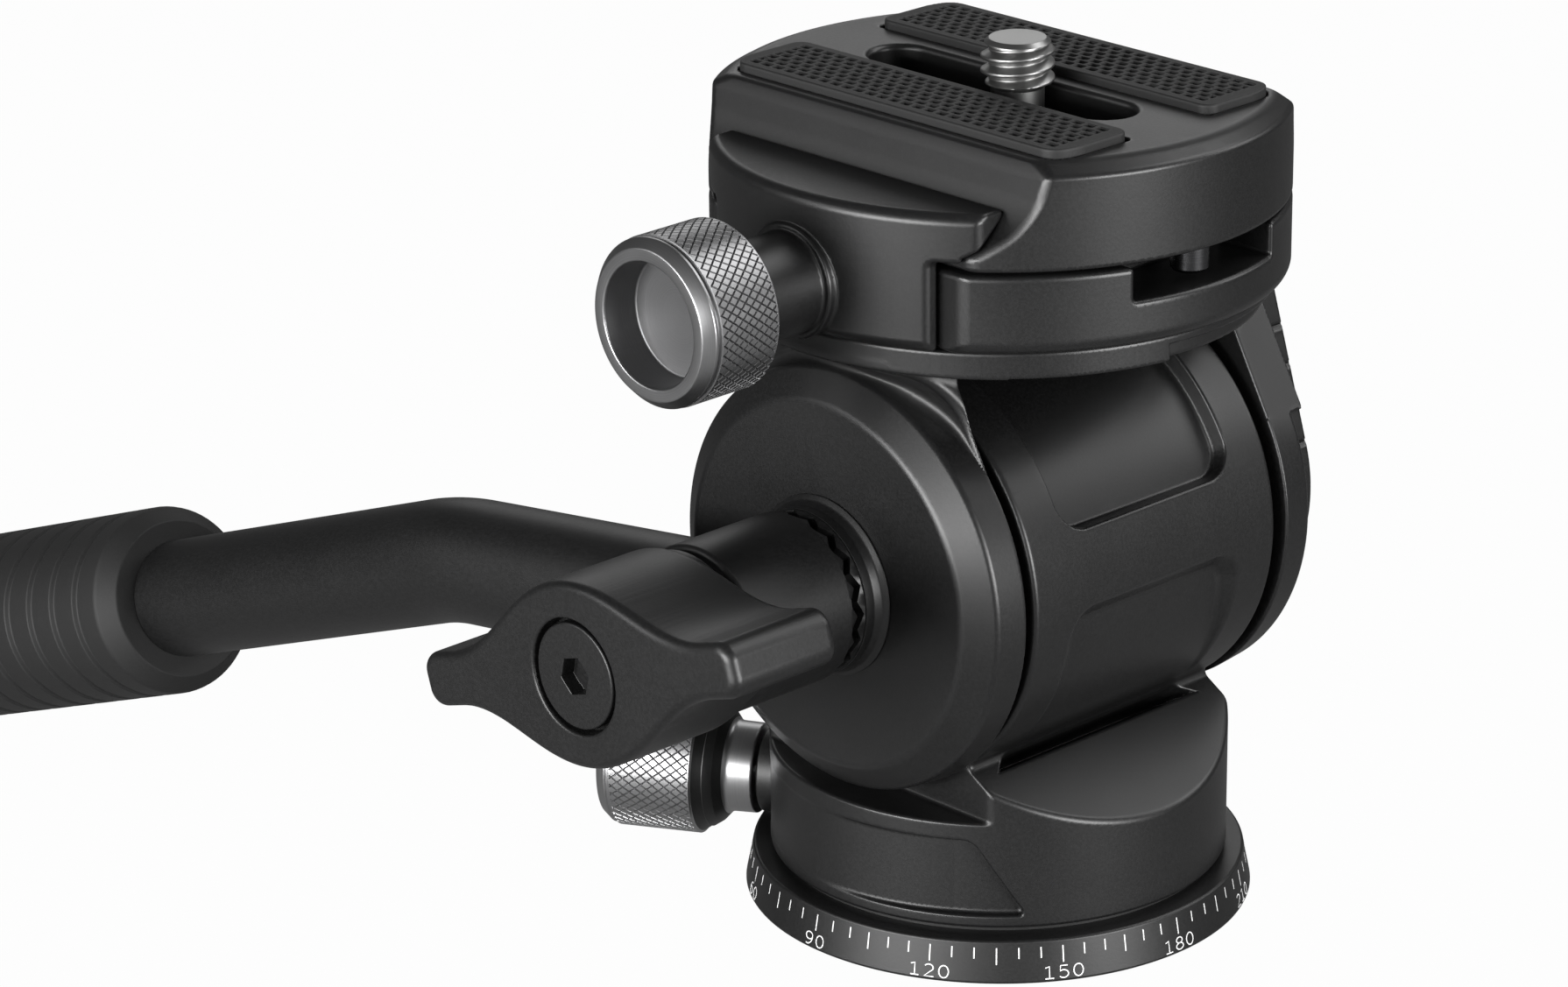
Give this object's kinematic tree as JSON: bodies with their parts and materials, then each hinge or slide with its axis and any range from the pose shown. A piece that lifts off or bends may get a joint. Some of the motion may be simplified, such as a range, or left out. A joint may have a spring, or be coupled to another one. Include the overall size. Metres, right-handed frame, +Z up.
{
  "type": "fluid video head",
  "caption": "Compact fluid video head with a turning base, a damped tilt yoke, a round dovetail clamp with a quick-release plate, and a bent pan handle on a toothed rosette.",
  "frame": {"origin": "centre of the base's mounting face, at the mouth of the tripod thread, on the pan axis", "axes": "+Z up along the pan axis; +X along the dovetail, towards the lens; the tilt axis is along Y, with the handle on -Y"},
  "size_m": [0.1719, 0.0751, 0.0978],
  "materials": {
    "black_metal": "satin black anodised",
    "silver_metal": "bright turned and knurled",
    "steel": "turned",
    "black_steel": "black oxide",
    "bronze": "sintered",
    "nylon": "plain",
    "black_plastic": "satin",
    "rubber": "matt"
  },
  "bodies": {
    "base": {"scale_ring": "black_metal", "tripod_insert": "steel", "pan_washer": "nylon", "pan_retainer": "steel", "retainer_screws": "steel"},
    "pan": {"pan_body": "black_metal", "pan_lock_collar": "black_plastic", "bush_left": "bronze", "bush_right": "bronze", "bearing_plate": "steel", "damper_stators": "steel"},
    "lock_shoe": {"pan_brake_shoe": "bronze"},
    "lock_knob": {"pan_lock_knob": "silver_metal", "pan_lock_stud": "steel"},
    "tilt": {"yoke": "black_metal", "tilt_axle": "steel", "axle_nut": "steel", "damper_rotors": "steel", "side_cover": "black_plastic", "cover_screws": "black_steel", "rosette": "black_metal", "clamp_base": "black_metal", "clamp_bolts": "black_steel"},
    "jaw": {"clamp_jaw": "black_metal", "guide_pins": "steel"},
    "jaw_knob": {"clamp_knob": "silver_metal", "clamp_screw": "steel"},
    "plate": {"plate": "black_metal", "grip_strips": "rubber", "stop_pins": "black_steel"},
    "screw_carrier": {"slot_washer": "steel"},
    "screw": {"camera_screw": "steel"},
    "handle_carrier": {"wing_washer": "steel"},
    "handle": {"handle_eye": "black_metal", "handle_bar": "black_metal", "handle_grip": "rubber", "end_cap": "black_plastic"},
    "wing": {"wing_knob": "black_plastic", "wing_bolt": "steel", "wing_cap": "black_plastic"}
  },
  "joints": [
    {"name": "pan", "type": "hinge", "parent": "base", "child": "pan", "pos_m": [0, 0, 0], "axis": [0, 0, 1], "continuous": true},
    {"name": "pan_lock_press", "type": "slide", "parent": "pan", "child": "lock_shoe", "axis": [0.866, 0.5, 0], "range_m": [0, 0.00025]},
    {"name": "pan_lock_turn", "type": "hinge", "parent": "lock_shoe", "child": "lock_knob", "pos_m": [0, 0, 0.008], "axis": [0.866, 0.5, 0], "range_deg": [0, 129]},
    {"name": "tilt", "type": "hinge", "parent": "pan", "child": "tilt", "pos_m": [0, 0, 0.0342], "axis": [0, 1, 0], "range_deg": [-60, 90]},
    {"name": "jaw_slide", "type": "slide", "parent": "tilt", "child": "jaw", "axis": [0, -1, 0], "range_m": [0, 0.0038]},
    {"name": "jaw_knob_turn", "type": "hinge", "parent": "jaw", "child": "jaw_knob", "pos_m": [0, 0, 0.06235], "axis": [0, -1, 0], "range_deg": [0, 1955]},
    {"name": "plate_slide", "type": "slide", "parent": "tilt", "child": "plate", "axis": [1, 0, 0], "range_m": [-0.0024, 0.0024]},
    {"name": "screw_slide", "type": "slide", "parent": "plate", "child": "screw_carrier", "axis": [1, 0, 0], "range_m": [-0.0142, 0.0102]},
    {"name": "screw_turn", "type": "hinge", "parent": "screw_carrier", "child": "screw", "pos_m": [0.002, 0, 0.07], "axis": [0, 0, 1], "continuous": true},
    {"name": "handle_close", "type": "slide", "parent": "tilt", "child": "handle_carrier", "axis": [0, 1, 0], "range_m": [0, 0.0007]},
    {"name": "handle_angle", "type": "hinge", "parent": "handle_carrier", "child": "handle", "pos_m": [0, -0.0308, 0.0342], "axis": [0, 1, 0], "range_deg": [-60, 60]},
    {"name": "wing_turn", "type": "hinge", "parent": "handle_carrier", "child": "wing", "pos_m": [0, -0.04, 0.0342], "axis": [0, 1, 0], "range_deg": [0, 252.5]}
  ],
  "couplings": [
    {"joint": "pan_lock_turn", "follows": "pan_lock_press", "rad_per_m": 8976},
    {"joint": "jaw_knob_turn", "follows": "jaw_slide", "rad_per_m": 8976},
    {"joint": "wing_turn", "follows": "handle_close", "rad_per_m": 6283.2}
  ]
}
